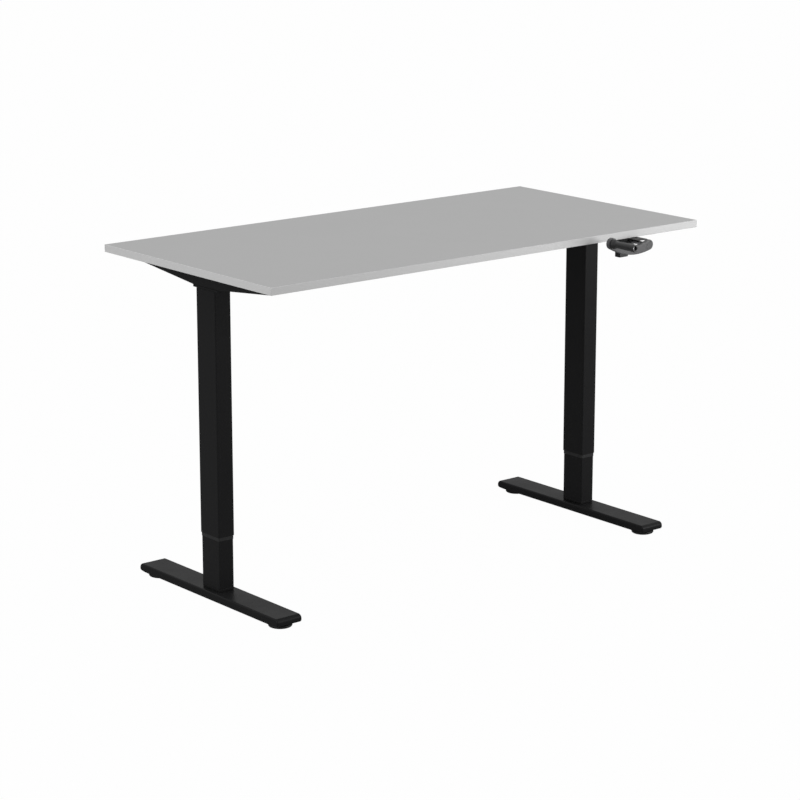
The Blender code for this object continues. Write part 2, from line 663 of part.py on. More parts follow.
def make_rails():
    """Each rail is a larger half on the left with a smaller half pushed into it."""
    reach = LEG_X - ARM_WIDTH / 2 - GAP
    inner_side = RAIL_SIDE - 2 * (RAIL_WALL + GAP)
    for name, sign in (("front", -1), ("rear", 1)):
        y = sign * RAIL_SPACING / 2
        square_tube(f"{name}_rail_left", y, RAIL_SIDE, -reach, RAIL_LEFT_REACH)
        right = square_tube(f"{name}_rail_right", y, inner_side, -RAIL_RIGHT_REACH, reach)
        if sign < 0:
            passage = hole_cutter("cut_front_rail_shaft_hole", at(CRANK_X, y, SHAFT_Z, ALONG_Y),
                                  hexagon_radius(CRANK_SHAFT_FLATS) + 0.0015, -RAIL_SIDE, RAIL_SIDE)
            boolean(right, passage)


# ---------------------------------------------------------------- gear housings
def make_housing(name, x, size, low, high):
    """An open-topped box round one pair of bevel gears."""
    half_x, half_y = size[0] / 2, size[1] / 2
    housing = box(name, (x - half_x, -half_y, low), (x + half_x, half_y, high), "housing")
    wall = HOUSING_WALL
    boolean(housing, box_cutter(f"cut_{name}_inside", (x - half_x + wall, -half_y + wall, low + wall),
                                (x + half_x - wall, half_y - wall, high + wall)))
    return housing


def make_leg_housing(side_name, x):
    width = ARM_WIDTH - 2 * (ARM_WALL + GAP)
    low, high = TOP_PLATE_TOP + GAP, ARM_TOP - ARM_WALL - GAP
    housing = make_housing(f"{side_name}_gear_housing", x, (width, LEG_HOUSING_LENGTH), low, high)
    inward = 1 if x < 0 else -1
    boolean(housing, hole_cutter(f"cut_{side_name}_housing_shaft",
                                 at(x + inward * width / 2, 0, SHAFT_Z, ALONG_X),
                                 hexagon_radius(CROSS_SHAFT_FLATS) + SHAFT_CLEARANCE,
                                 -2 * HOUSING_WALL, 2 * HOUSING_WALL))
    return boolean(housing, hole_cutter(f"cut_{side_name}_housing_screw", at(x, 0, low),
                                        SCREW_JOURNAL + SHAFT_CLEARANCE, -GAP, 2 * HOUSING_WALL))


def make_crank_housing():
    side, thickness = HOUSING_COVER
    cover = box("crank_housing_cover", (CRANK_X - side / 2, -side / 2, ARM_TOP - thickness),
                (CRANK_X + side / 2, side / 2, ARM_TOP), "frame")
    high = ARM_TOP - thickness - GAP
    housing = make_housing("crank_gear_housing", CRANK_X, (CRANK_HOUSING_SIDE, CRANK_HOUSING_SIDE),
                           high - CRANK_HOUSING_HEIGHT, high)
    reach = CRANK_HOUSING_SIDE
    boolean(housing, hole_cutter("cut_crank_housing_cross", at(CRANK_X, 0, SHAFT_Z, ALONG_X),
                                 hexagon_radius(CROSS_SHAFT_FLATS) + SHAFT_CLEARANCE, -reach, reach))
    boolean(housing, hole_cutter("cut_crank_housing_crank", at(CRANK_X, 0, SHAFT_Z, ALONG_Y),
                                 hexagon_radius(CROSS_SHAFT_FLATS) + SHAFT_CLEARANCE, -reach, 0))
    return cover, housing


# ---------------------------------------------------------------- cross shaft
def make_cross_shaft():
    radius = hexagon_radius(CROSS_SHAFT_FLATS)
    reach = LEG_X - SHAFT_STOP
    shaft = turned("cross_shaft", at(0, 0, SHAFT_Z, ALONG_X), [(-reach, radius), (reach, radius)],
                   "zinc", 6)
    pieces = [shaft]
    for side_name, x, inward in (("left", -LEG_X, 1), ("right", LEG_X, -1)):
        pieces.append(bevel_gear(f"{side_name}_shaft_gear", (x, 0, SHAFT_Z), (inward, 0, 0), (0, 0, -1),
                                 True, ALONG_X, radius, 6))
    pieces.append(bevel_gear("cross_gear", (CRANK_X, 0, SHAFT_Z), (1, 0, 0), (0, -1, 0), False,
                             ALONG_X, radius, 6))
    parent_to("axis_cross_shaft", (0, 0, SHAFT_Z), pieces)


# ---------------------------------------------------------------- crank
def crank_arm_outline():
    """Front view of the arm about its hub, as (x, z): a bow that is fuller at both ends."""
    hub = Vector((0.0, 0.0))
    grip = Vector((GRIP_X - CRANK_X, CRANK_LIFT))
    chord = grip - hub
    down = Vector((-chord.y, chord.x)).normalized()
    if down.y > 0:
        down = -down
    steps = 14

    def spine(share):
        return hub + chord * share + down * CRANK_SAG * 4 * share * (1 - share)

    def half_height(share):
        end = CRANK_HUB_END + (CRANK_GRIP_END - CRANK_HUB_END) * share
        return end + (CRANK_WAIST - end) * sin(pi * share) ** 0.8

    def normal(share):
        step = 1e-4
        run = (spine(share + step) - spine(share - step)).normalized()
        return Vector((-run.y, run.x))

    shares = [k / steps for k in range(steps + 1)]
    outline = [spine(s) + normal(s) * half_height(s) for s in shares]
    outline += cap(spine(1), normal(1), half_height(1))
    outline += [spine(s) - normal(s) * half_height(s) for s in reversed(shares)]
    outline += cap(spine(0), -normal(0), half_height(0))
    return [tuple(point) for point in outline]


def cap(middle, start, radius, steps=14):
    """The points between two ends of a half circle, turning clockwise from start."""
    first = atan2(start.y, start.x)
    return [middle + Vector((cos(first - pi * k / steps), sin(first - pi * k / steps))) * radius
            for k in range(1, steps)]


def slot_outline(length, width, steps=6):
    straight = (length - width) / 2
    points = []
    for sign, start in ((1, -pi / 2), (-1, pi / 2)):
        for k in range(steps + 1):
            angle = start + pi * k / steps
            points.append((sign * straight + width / 2 * cos(angle), width / 2 * sin(angle)))
    return points


def turned_outline(outline, angle):
    return [(x * cos(angle) - z * sin(angle), x * sin(angle) + z * cos(angle)) for x, z in outline]


def make_crank():
    frame = Matrix(((1, 0, 0, CRANK_X), (0, 0, 1, 0), (0, 1, 0, SHAFT_Z), (0, 0, 0, 1)))
    bm = bmesh.new()
    add_prism(bm, crank_arm_outline(), frame, CRANK_FRONT, CRANK_BACK)
    rims = [e for e in bm.edges if abs(e.verts[0].co.y - e.verts[1].co.y) < 1e-7]
    bmesh.ops.bevel(bm, geom=rims, offset=0.0012, segments=2, profile=0.5, affect="EDGES")
    arm = finish("crank_arm", bm, "crank")

    length, width, thickness = HUB_COVER
    slot = turned_outline(slot_outline(length, width), HUB_COVER_TILT)
    pocket = turned_outline(slot_outline(length + 2 * GAP, width + 2 * GAP), HUB_COVER_TILT)
    cover_back = CRANK_FRONT + thickness
    cover = prism("crank_hub_cover", slot, frame, CRANK_FRONT - 0.0004, cover_back, "plastic")
    recess = bmesh.new()
    add_prism(recess, pocket, frame, CRANK_FRONT - thickness, cover_back + GAP)
    boolean(arm, cutter(recess, "cut_crank_hub_pocket"))
    shaft_front = cover_back + 2 * GAP
    boolean(arm, hole_cutter("cut_crank_hub_bore", at(CRANK_X, 0, SHAFT_Z, ALONG_Y),
                             hexagon_radius(CRANK_SHAFT_FLATS + GAP), CRANK_FRONT + thickness / 2,
                             CRANK_BACK + thickness, 6))
    boolean(arm, hole_cutter("cut_crank_grip_hole", at(GRIP_X, 0, GRIP_Z, ALONG_Y),
                             GRIP_PIN_RADIUS + GAP / 2, CRANK_FRONT - thickness,
                             CRANK_BACK + thickness))

    large, small = hexagon_radius(CRANK_SHAFT_FLATS), hexagon_radius(CROSS_SHAFT_FLATS)
    step = -CRANK_HOUSING_SIDE / 2 - 0.001
    shaft = turned("crank_shaft", at(CRANK_X, 0, SHAFT_Z, ALONG_Y),
                   [(shaft_front, large), (step, large), (step, small), (-SHAFT_STOP, small)], "zinc", 6)
    gear = bevel_gear("crank_gear", (CRANK_X, 0, SHAFT_Z), (0, -1, 0), (1, 0, 0), True,
                      ALONG_Y, small, 6)
    hole_radius, hole_depth = GRIP_HOLE
    head_back = GRIP_TIP + hole_depth - GAP
    pin = turned(
        "grip_pin", at(GRIP_X, 0, GRIP_Z, ALONG_Y),
        [(head_back - 0.0030, hole_radius - 0.0012), (head_back - 0.0022, hole_radius - GAP),
         (head_back, hole_radius - GAP), (head_back, GRIP_PIN_RADIUS), (CRANK_BACK, GRIP_PIN_RADIUS)],
        "steel")
    parent_to("axis_crank", (CRANK_X, 0, SHAFT_Z), [arm, cover, shaft, gear, pin])

    collar_radius, collar_length = GRIP_COLLAR
    root = CRANK_FRONT - GAP
    grip = turned_ring(
        "grip", at(GRIP_X, 0, GRIP_Z, ALONG_Y),
        [(GRIP_TIP + hole_depth, GRIP_BORE), (GRIP_TIP + hole_depth, hole_radius),
         (GRIP_TIP, hole_radius), (GRIP_TIP, GRIP_TIP_RADIUS - 0.0014),
         (GRIP_TIP + 0.0006, GRIP_TIP_RADIUS - 0.0004), (GRIP_TIP + 0.0020, GRIP_TIP_RADIUS),
         (root - collar_length - 0.0030, GRIP_ROOT_RADIUS),
         (root - collar_length, collar_radius - 0.0010), (root - 0.0010, collar_radius),
         (root, collar_radius - 0.0006), (root, GRIP_BORE)],
        "grip", ROUND_LARGE)
    parent_to("axis_grip", (GRIP_X, GRIP_TIP, GRIP_Z), [grip])


def make_crank_support():
    """The plate, bearing block and bush that carry the crank shaft under the front edge."""
    left, right = SUPPORT_PLATE_SIDES
    plate = box("crank_support_plate", (CRANK_X - left, SUPPORT_PLATE_FRONT, SUPPORT_PLATE_BOTTOM),
                (CRANK_X + right, SUPPORT_PLATE_FRONT + SUPPORT_PLATE_LENGTH, ARM_TOP), "frame")
    left, right = BEARING_BLOCK_SIDES
    back = BLOCK_FRONT + BEARING_BLOCK_DEPTH
    bottom = BLOCK_TOP - BEARING_BLOCK_HEIGHT
    block = box("crank_bearing_block", (CRANK_X - left, BLOCK_FRONT, bottom),
                (CRANK_X + right, back, BLOCK_TOP), "plastic", bevel=0.0012)
    width, depth, height = BEARING_LUG
    lug_x = CRANK_X - BEARING_LUG_OFFSET
    lug = bmesh.new()
    low = Vector((lug_x - width / 2, back - depth - GAP, bottom - height))
    high = Vector((lug_x + width / 2, back - GAP, bottom + 2 * OUTER_RADIUS))
    bmesh.ops.create_cube(lug, size=1, matrix=Matrix.Translation((low + high) / 2)
                          @ Matrix.Diagonal((*(high - low), 1)))
    bmesh.ops.bevel(lug, geom=[e for e in lug.edges if min(v.co.z for v in e.verts) < low.z + 1e-6],
                    offset=0.0015, segments=2, profile=0.5, affect="EDGES")
    boolean(block, cutter(lug, "add_bearing_lug"), "UNION")
    frame = at(CRANK_X, 0, SHAFT_Z, ALONG_Y)
    boolean(block, hole_cutter("cut_bearing_bore", frame, BUSH_RADIUS + GAP, BLOCK_FRONT - GAP * 4,
                               back + GAP * 4))
    bore = hexagon_radius(CRANK_SHAFT_FLATS) + SHAFT_CLEARANCE
    turned_ring("crank_bush", frame,
                [(BLOCK_FRONT - 0.0006, bore), (BLOCK_FRONT - 0.0006, BUSH_RADIUS),
                 (back, BUSH_RADIUS), (back, bore)], "plastic")
    return plate


# ---------------------------------------------------------------- assembly
def centre_on_origin():
    """Every piece is built about the middle of the top, and the crank stands out in front."""
    for obj in bpy.data.objects:
        if obj.parent is None:
            obj.location.y -= MIDDLE_Y


def main():
    for obj in list(bpy.data.objects):
        bpy.data.objects.remove(obj)
    make_materials()
    make_top()
    for side_name, x in (("left", -LEG_X), ("right", LEG_X)):
        make_foot(side_name, x)
        make_base_plate(side_name, x)
        for end, sign in (("front", -1), ("rear", 1)):
            make_levelling_foot(f"{side_name}_{end}_levelling_foot", x, sign * PAD_SPACING / 2)
            make_base_bolt(f"{side_name}_{end}_base_bolt", x, sign * BASE_BOLT_SPACING / 2)
        make_column(side_name, x)
        make_lead_screw(side_name, x)
        make_side_arm(side_name, x)
        make_leg_housing(side_name, x)
    make_rails()
    make_crank_housing()
    make_cross_shaft()
    make_crank()
    make_crank_support()
    centre_on_origin()


main()
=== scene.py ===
"""Finished pieces of a height adjustable desk with a hand crank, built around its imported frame."""

import json
from math import radians

import bmesh
import bpy
from bpy.props import (
    FloatProperty,
    FloatVectorProperty,
    IntProperty,
    PointerProperty,
)
from bpy.types import Operator, Panel, PropertyGroup
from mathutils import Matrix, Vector

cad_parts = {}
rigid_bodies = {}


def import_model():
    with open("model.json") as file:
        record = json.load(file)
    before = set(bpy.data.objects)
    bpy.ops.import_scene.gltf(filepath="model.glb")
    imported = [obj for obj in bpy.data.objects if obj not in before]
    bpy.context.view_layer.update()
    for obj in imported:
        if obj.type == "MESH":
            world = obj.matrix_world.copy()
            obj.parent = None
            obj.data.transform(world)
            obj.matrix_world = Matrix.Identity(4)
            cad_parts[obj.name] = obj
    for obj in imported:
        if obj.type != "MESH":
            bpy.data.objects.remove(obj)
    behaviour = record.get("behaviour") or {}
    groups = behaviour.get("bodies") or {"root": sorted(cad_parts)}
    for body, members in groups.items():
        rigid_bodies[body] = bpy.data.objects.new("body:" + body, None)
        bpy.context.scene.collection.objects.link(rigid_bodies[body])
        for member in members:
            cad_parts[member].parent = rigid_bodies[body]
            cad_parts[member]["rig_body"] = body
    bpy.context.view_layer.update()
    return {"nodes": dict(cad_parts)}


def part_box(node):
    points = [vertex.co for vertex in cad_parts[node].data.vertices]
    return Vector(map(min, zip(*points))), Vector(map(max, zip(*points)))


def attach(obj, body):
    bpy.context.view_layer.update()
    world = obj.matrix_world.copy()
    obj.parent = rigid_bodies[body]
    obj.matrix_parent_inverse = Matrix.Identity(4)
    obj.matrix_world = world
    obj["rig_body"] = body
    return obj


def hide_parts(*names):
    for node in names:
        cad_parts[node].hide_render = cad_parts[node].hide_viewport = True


bl_info = {
    "name": "Hand crank desk",
    "version": (1, 0, 0),
    "blender": (4, 5, 0),
    "location": "3D View > Sidebar > Desk",
    "description": "Builds the pieces of a height adjustable desk around its frame",
    "category": "Add Mesh",
}

for startup in list(bpy.data.objects):
    bpy.data.objects.remove(startup)
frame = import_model()
NODES = frame["nodes"]

X, Y, Z = 0, 1, 2
UP, DOWN, FORWARD = Vector((0, 0, 1)), Vector((0, 0, -1)), Vector((0, -1, 0))
MERGE = 1e-5                 # joins a frame node's loose triangles
SIDES = ("left", "right")
ENDS = ("front", "rear")
TOUCH = 0.00005              # between two pieces that lie against each other
PLATE_EDGE = 0.0006          # rounding of a cut steel plate or a small moulding
FINE_EDGE = 0.0004           # rounding of a finely finished edge
BAR_EDGE = 0.0003            # rounding of a thin bar or ring
THREAD_ROOM = 0.0003         # between a stud and the bore of its nut
NUT_EDGE = 0.0006            # chamfer at the lower end of a foot nut
NUT_FLARE = (0.0008, 0.0010)     # width and height of the flare at its upper end
COVER_SCREW_INSET = 0.006    # from the gear cover's edges to its screws
FLOOR_WIDTH, FLOOR_DROP = 160, 0.0002


# ---------------------------------------------------------------- sizes and colours
def length(name, default, description):
    return FloatProperty(name=name, description=description, default=default, min=0.0,
                         subtype="DISTANCE", unit="LENGTH", precision=5)


def share(name, default, description):
    return FloatProperty(name=name, description=description, default=default, min=0.0, max=1.0,
                         subtype="FACTOR")


def colour(name, default, description):
    return FloatVectorProperty(name=name, description=description, default=default, min=0.0,
                               max=1.0, size=3, subtype="COLOR")


class DeskSizes(PropertyGroup):
    """Radii, walls and small sizes that the frame leaves open"""

    band_radius: length("Band radius", 0.0007, "Rounding along the outer edges of the top")
    foot_wall: length("Foot wall", 0.0025, "Thickness of the pressed foot")
    foot_end_radius: length("Foot end radius", 0.011, "Rounding over each end of a foot")
    foot_toe_radius: length("Foot toe radius", 0.0065, "Rounding under each end of a foot")
    foot_side_radius: length("Foot side radius", 0.0045, "Rounding along a foot's upper edges")
    stud_radius: length("Stud radius", 0.004, "Outer radius of a levelling stud's thread")
    stud_pitch: length("Stud pitch", 0.00125, "Pitch of a levelling stud's thread")
    boss_radius: length("Boss radius", 0.009, "Outer radius of the nut in a foot")
    pad_height: length("Pad height", 0.0117, "Height of a levelling pad")
    outer_wall: length("Outer wall", 0.0015, "Wall of the outer column tube")
    outer_radius: length("Outer radius", 0.003, "Corner radius of the outer column tube")
    inner_wall: length("Inner wall", 0.0015, "Wall of the inner column tube")
    inner_radius: length("Inner radius", 0.0024, "Corner radius of the inner column tube")
    ring_wall: length("Glide ring wall", 0.0005, "Wall of the glide ring under the outer tube")
    sheet_radius: length("Sheet radius", 0.0009, "Rounding of folded and cut sheet steel")
    casting_radius: length("Casting radius", 0.0014, "Rounding of a cast housing's edges")
    moulded_radius: length("Moulded radius", 0.0009, "Rounding of a moulded plastic edge")
    grip_tip_radius: length("Grip tip radius", 0.0102, "Radius of the grip at its free end")
    grip_root_radius: length("Grip root radius", 0.0087, "Radius of the grip next to its collar")
    grip_collar: length("Grip collar", 0.009, "Length of the grip's collar")
    grip_hole: length("Grip hole", 0.0056, "Radius of the recess in the grip's free end")
    grip_recess: length("Grip recess", 0.009, "Depth of the recess in the grip's free end")
    grip_bore: length("Grip bore", 0.0044, "Radius of the grip's bore")
    pin_radius: length("Pin radius", 0.004, "Radius of the grip's pin")
    screw_head: length("Screw head", 0.0058, "Radius of a screw's head")
    screw_height: length("Screw height", 0.0030, "Height of a screw's head")
    screw_socket: length("Screw socket", 0.0023, "Radius of a screw's hexagon socket")
    arm_wall: length("Arm wall", 0.0025, "Sheet thickness of the side arms")
    arm_screw_inner: length("Inner arm screw", 0.130, "From the column to an arm's inner screw")
    arm_screw_outer: length("Outer arm screw", 0.236, "From the column to an arm's outer screw")
    rail_screw_inset: length("Rail screw inset", 0.020, "From a rail's open end to its screw")
    rail_screw_gap: length("Rail screw gap", 0.060, "Between the two screws of a rail")
    round_sides: IntProperty(name="Round sides", description="Sides of a turned piece",
                             default=64, min=12, max=128)


class DeskColours(PropertyGroup):
    """Base colours of the finishes"""

    laminate: colour("Laminate", (0.390, 0.390, 0.390), "Grey melamine of the board")
    # The edge band's grey is set lighter than the laminate's. This lift is painted light: it stands
    # in for the brighter lit look of the board's upright sides.
    band: colour("Edge band", (0.52, 0.52, 0.52), "Edge band round the board")
    powder: colour("Powder coat", (0.0110, 0.0110, 0.0114), "Black powder coat of the frame")
    plastic: colour("Plastic", (0.010, 0.010, 0.0105), "Black moulded plastic")
    crank: colour("Crank", (0.060, 0.060, 0.062), "Dark grey plastic of the crank arm")
    grip: colour("Grip", (0.014, 0.014, 0.0145), "Black plastic of the grip")
    pad: colour("Pad", (0.012, 0.012, 0.012), "Black plastic of the levelling pads")
    zinc: colour("Zinc", (0.60, 0.60, 0.62), "Zinc plate on the shafts and the bolts")
    steel: colour("Steel", (0.46, 0.46, 0.47), "Bare steel")
    casting: colour("Casting", (0.020, 0.020, 0.021), "Painted cast housing")
    polymer: colour("Polymer", (0.62, 0.61, 0.57), "Natural polymer of the nuts and glides")
    gear: colour("Gear", (0.34, 0.34, 0.35), "Hardened steel of the gears")


class DeskStage(PropertyGroup):
    """Camera, floor and light"""

    camera_place: FloatVectorProperty(name="Camera", description="Where the camera stands",
                                      default=(-4.2508, -5.0885, 2.0982), size=3,
                                      subtype="TRANSLATION", unit="LENGTH")
    camera_turn: FloatProperty(name="Turn", description="Camera's turn to the right of +Y",
                               default=radians(39.338), subtype="ANGLE", unit="ROTATION")
    camera_tilt: FloatProperty(name="Tilt", description="Camera's tilt below the level",
                               default=radians(14.107), subtype="ANGLE", unit="ROTATION")
    lens: FloatProperty(name="Lens", description="Focal length in millimetres",
                        default=118.411, min=1.0, subtype="DISTANCE_CAMERA")
    horizon: FloatProperty(name="Horizon light", description="Sky radiance at the horizon",
                           default=0.40, min=0.0)
    zenith: FloatProperty(name="Zenith light", description="Sky radiance overhead",
                          default=1.25, min=0.0)
    floor_tone: share("Floor tone", 0.35, "How much light the floor gives back")
    floor_glow: share("Floor glow", 0.985, "How far the floor is plain white to the eye")
    key_place: FloatVectorProperty(name="Key light", description="Where the right light stands",
                                   default=(1.9, -2.1, 1.0), size=3,
                                   subtype="TRANSLATION", unit="LENGTH")
    key_power: FloatProperty(name="Key power", description="Power of the right light",
                             default=39.0, min=0.0, subtype="POWER", unit="POWER")
    fill_place: FloatVectorProperty(name="Fill light", description="Where the left light stands",
                                    default=(-3.2, 0.0, 1.0), size=3,
                                    subtype="TRANSLATION", unit="LENGTH")
    fill_power: FloatProperty(name="Fill power", description="Power of the left light",
                              default=24.0, min=0.0, subtype="POWER", unit="POWER")
    light_size: length("Light size", 1.4, "Width of each light")
    light_aim: FloatVectorProperty(name="Light aim", description="Point that the lights face",
                                   default=(0.0, 0.0, 0.82), size=3,
                                   subtype="TRANSLATION", unit="LENGTH")


# ---------------------------------------------------------------- modelling helpers
def clear_selection():
    if bpy.context.mode != "OBJECT":
        bpy.ops.object.mode_set(mode="OBJECT")
    bpy.ops.object.select_all(action="DESELECT")


def pick(piece):
    clear_selection()
    piece.select_set(True)
    bpy.context.view_layer.objects.active = piece


def edit(piece):
    pick(piece)
    bpy.ops.object.mode_set(mode="EDIT")


def done():
    bpy.ops.object.mode_set(mode="OBJECT")


def choose(piece, kind, test):
    """Selects the faces or edges of the piece in edit mode that pass a test."""
    bpy.ops.mesh.select_mode(type=kind)
    bpy.ops.mesh.select_all(action="DESELECT")
    mesh = bmesh.from_edit_mesh(piece.data)
    for part in mesh.faces if kind == "FACE" else mesh.edges:
        if test(part):
            part.select_set(True)
    mesh.select_flush_mode()
    bmesh.update_edit_mesh(piece.data)


def settle(piece, name):
    """Names the piece and puts its place into its mesh."""
    done_editing = bpy.context.mode != "OBJECT"
    if done_editing:
        done()
    piece.name = piece.data.name = name
    pick(piece)
    bpy.ops.object.transform_apply(location=True, rotation=True, scale=True)
    return piece


def block(name, low, high):
    """A box between two corners, ready to be shaped."""
    clear_selection()
    bpy.ops.mesh.primitive_cube_add(size=1, location=(low + high) / 2)
    piece = bpy.context.object
    piece.scale = high - low
    return settle(piece, name)


def runs_along(edge, axis):
    run = edge.verts[1].co - edge.verts[0].co
    return abs(run[axis]) > 0.999 * run.length


def lies_at(edge, axis, level):
    return all(abs(vert.co[axis] - level) < MERGE for vert in edge.verts)


def bevel_edges(piece, test, width, segments):
    """Rounds the edges that pass a test."""
    edit(piece)
    choose(piece, "EDGE", test)
    bpy.ops.mesh.bevel(offset=width, segments=segments, profile=0.5, affect="EDGES")
    done()


def round_over(piece, width, segments=3, angle=35):
    """Rounds every edge sharper than an angle."""
    pick(piece)
    bevel = piece.modifiers.new("rounding", "BEVEL")
    bevel.width = width
    bevel.segments = segments
    bevel.limit_method = "ANGLE"
    bevel.angle_limit = radians(angle)
    bpy.ops.object.modifier_apply(modifier=bevel.name)


def turned(name, foot, axis, profile, sides, bore=False):
    """A piece turned about an axis from foot; its profile is a list of (radius, height)."""
    clear_selection()
    radius, height = profile[0]
    bpy.ops.mesh.primitive_circle_add(
        vertices=sides, radius=radius, fill_type="NOTHING", location=foot + axis * height,
        rotation=UP.rotation_difference(axis).to_euler())
    piece = bpy.context.object
    edit(piece)
    bpy.ops.mesh.select_mode(type="EDGE")
    bpy.ops.mesh.select_all(action="SELECT")
    for next_radius, next_height in profile[1:]:
        bpy.ops.mesh.extrude_region_move(
            TRANSFORM_OT_translate={"value": axis * (next_height - height)})
        scale = next_radius / radius
        bpy.ops.transform.resize(value=(scale, scale, scale),
                                 center_override=foot + axis * next_height)
        radius, height = next_radius, next_height
    choose(piece, "EDGE", lambda edge: len(edge.link_faces) == 1)
    if bore:
        bpy.ops.mesh.bridge_edge_loops()
    else:
        bpy.ops.mesh.select_all(action="SELECT")
        bpy.ops.mesh.fill_holes(sides=0)
    bpy.ops.mesh.select_all(action="SELECT")
    bpy.ops.mesh.normals_make_consistent(inside=False)
    return settle(piece, name)


def tube(name, low, high, radius, wall):
    """An upright rectangular tube with round corners, open at both ends."""
    piece = block(name, low, high)
    bevel_edges(piece, lambda edge: runs_along(edge, Z), radius, 6)
    edit(piece)
    choose(piece, "FACE", lambda face: abs(face.normal.z) > 0.99)
    bpy.ops.mesh.inset(thickness=wall, use_individual=True)
    bpy.ops.mesh.bridge_edge_loops()
    done()
    return piece


def refined(node, name, whole=True):
    """A merged copy of a frame node; its flat faces are made whole unless they hold a pocket."""
    clear_selection()
    piece = bpy.data.objects.new(name, NODES[node].data.copy())
    bpy.context.scene.collection.objects.link(piece)
    edit(piece)
    bpy.ops.mesh.select_all(action="SELECT")
    bpy.ops.mesh.remove_doubles(threshold=MERGE)
    if whole:
        bpy.ops.mesh.dissolve_limited(angle_limit=radians(0.5))
    done()
    bpy.ops.mesh.customdata_custom_splitnormals_clear()
    return settle(piece, name)


def copied(piece, name, shift):
    """A copy with its own mesh, moved within that mesh."""
    clear_selection()
    twin = bpy.data.objects.new(name, piece.data.copy())
    bpy.context.scene.collection.objects.link(twin)
    twin.location = shift
    return settle(twin, name)


def fit(piece, body, slot, *nodes, angle=35):
    """Gives a finished piece its shading, finish and body, and hides the frame nodes it stands for.
    """
    pick(piece)
    bpy.ops.object.shade_smooth_by_angle(angle=radians(angle))
    weigh = piece.modifiers.new("flat faces", "WEIGHTED_NORMAL")
    weigh.keep_sharp = True
    bpy.ops.object.modifier_apply(modifier=weigh.name)
    piece.data.materials.clear()
    piece.data.materials.append(finish_of(slot))
    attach(piece, body)
    if nodes:
        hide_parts(*nodes)
    return piece


def refit(node, name, slot, radius=0.0, segments=3):
    """Stands for a frame node with a rounded copy of it."""
    piece = refined(node, name)
    if radius:
        round_over(piece, radius, segments)
    return fit(piece, NODES[node]["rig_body"], slot, node)


# ---------------------------------------------------------------- finishes
def make_finish(name, base, roughness, metallic=0.0, specular=0.5, mottling=0.08, patches=6.0,
                grain=900.0, relief=0.1, depth=0.00006, uneven=0.05, stretch=(1.0, 1.0, 1.0)):
    """A surface whose colour, gloss and relief vary by noise in the piece's own space."""
    material = bpy.data.materials.new(name)
    material.use_nodes = True
    nodes, links = material.node_tree.nodes, material.node_tree.links
    shader = nodes["Principled BSDF"]
    shader.inputs["Metallic"].default_value = metallic
    shader.inputs["Specular IOR Level"].default_value = specular

    place = nodes.new("ShaderNodeTexCoord")
    spread = nodes.new("ShaderNodeMapping")
    spread.inputs["Scale"].default_value = stretch
    links.new(place.outputs["Object"], spread.inputs["Vector"])

    broad = nodes.new("ShaderNodeTexNoise")
    broad.inputs["Scale"].default_value = patches
    broad.inputs["Detail"].default_value = 4.0
    fine = nodes.new("ShaderNodeTexNoise")
    fine.inputs["Scale"].default_value = grain
    fine.inputs["Detail"].default_value = 2.0
    for noise in (broad, fine):
        links.new(spread.outputs["Vector"], noise.inputs["Vector"])
    both = nodes.new("ShaderNodeMath")
    both.operation = "MULTIPLY_ADD"
    both.inputs[1].default_value = 0.5
    both.inputs[2].default_value = 0.25
    links.new(broad.outputs["Fac"], both.inputs[0])
    blend = nodes.new("ShaderNodeMix")
    blend.inputs["Factor"].default_value = 0.4
    links.new(both.outputs["Value"], blend.inputs["A"])
    links.new(fine.outputs["Fac"], blend.inputs["B"])

    tint = nodes.new("ShaderNodeMix")
    tint.data_type = "RGBA"
    tint.inputs["A"].default_value = (*(c * (1 - mottling) for c in base), 1)
    tint.inputs["B"].default_value = (*(min(1, c * (1 + mottling)) for c in base), 1)
    links.new(blend.outputs["Result"], tint.inputs["Factor"])
    links.new(tint.outputs["Result"], shader.inputs["Base Color"])

    gloss = nodes.new("ShaderNodeMapRange")
    gloss.inputs["From Min"].default_value = 0.3
    gloss.inputs["From Max"].default_value = 0.7
    gloss.inputs["To Min"].default_value = roughness - uneven
    gloss.inputs["To Max"].default_value = roughness + uneven
    links.new(broad.outputs["Fac"], gloss.inputs["Value"])
    links.new(gloss.outputs["Result"], shader.inputs["Roughness"])

    bump = nodes.new("ShaderNodeBump")
    bump.inputs["Strength"].default_value = relief
    bump.inputs["Distance"].default_value = depth
    links.new(fine.outputs["Fac"], bump.inputs["Height"])
    links.new(bump.outputs["Normal"], shader.inputs["Normal"])
    return material


def laminate(colours):
    return make_finish("board_laminate", colours.laminate, 0.50, specular=0.15, mottling=0.03,
                       patches=3.0, grain=1400.0, relief=0.12, depth=0.00004)


def edge_band(colours):
    # colours.band carries painted light: its lift over the laminate paints the brighter lit sides of
    # the board.
    return make_finish("edge_band", colours.band, 0.42, specular=0.35, mottling=0.02,
                       patches=5.0, grain=900.0, relief=0.10, depth=0.00004)


def powder_coat(colours):
    return make_finish("black_powder_coat", colours.powder, 0.36, specular=0.06, mottling=0.15,
                       patches=14.0, grain=420.0, relief=0.14, depth=0.00005, uneven=0.04)


def black_plastic(colours):
    return make_finish("black_plastic", colours.plastic, 0.46, specular=0.30, mottling=0.12,
                       patches=20.0, grain=1600.0, relief=0.25, depth=0.00004)


def crank_plastic(colours):
    return make_finish("crank_plastic", colours.crank, 0.42, specular=0.30, mottling=0.08,
                       patches=24.0, grain=2200.0, relief=0.25, depth=0.00004)


def grip_plastic(colours):
    return make_finish("grip_plastic", colours.grip, 0.36, specular=0.35, mottling=0.08,
                       patches=30.0, grain=2000.0, relief=0.20, depth=0.00003)


def pad_plastic(colours):
    return make_finish("pad_plastic", colours.pad, 0.50, specular=0.25, mottling=0.12,
                       patches=24.0, grain=1500.0, relief=0.30, depth=0.00005)


def zinc_plate(colours):
    return make_finish("zinc_plated_steel", colours.zinc, 0.30, metallic=1.0, mottling=0.12,
                       patches=40.0, grain=700.0, relief=0.10, depth=0.00003, uneven=0.08,
                       stretch=(0.15, 1.0, 1.0))


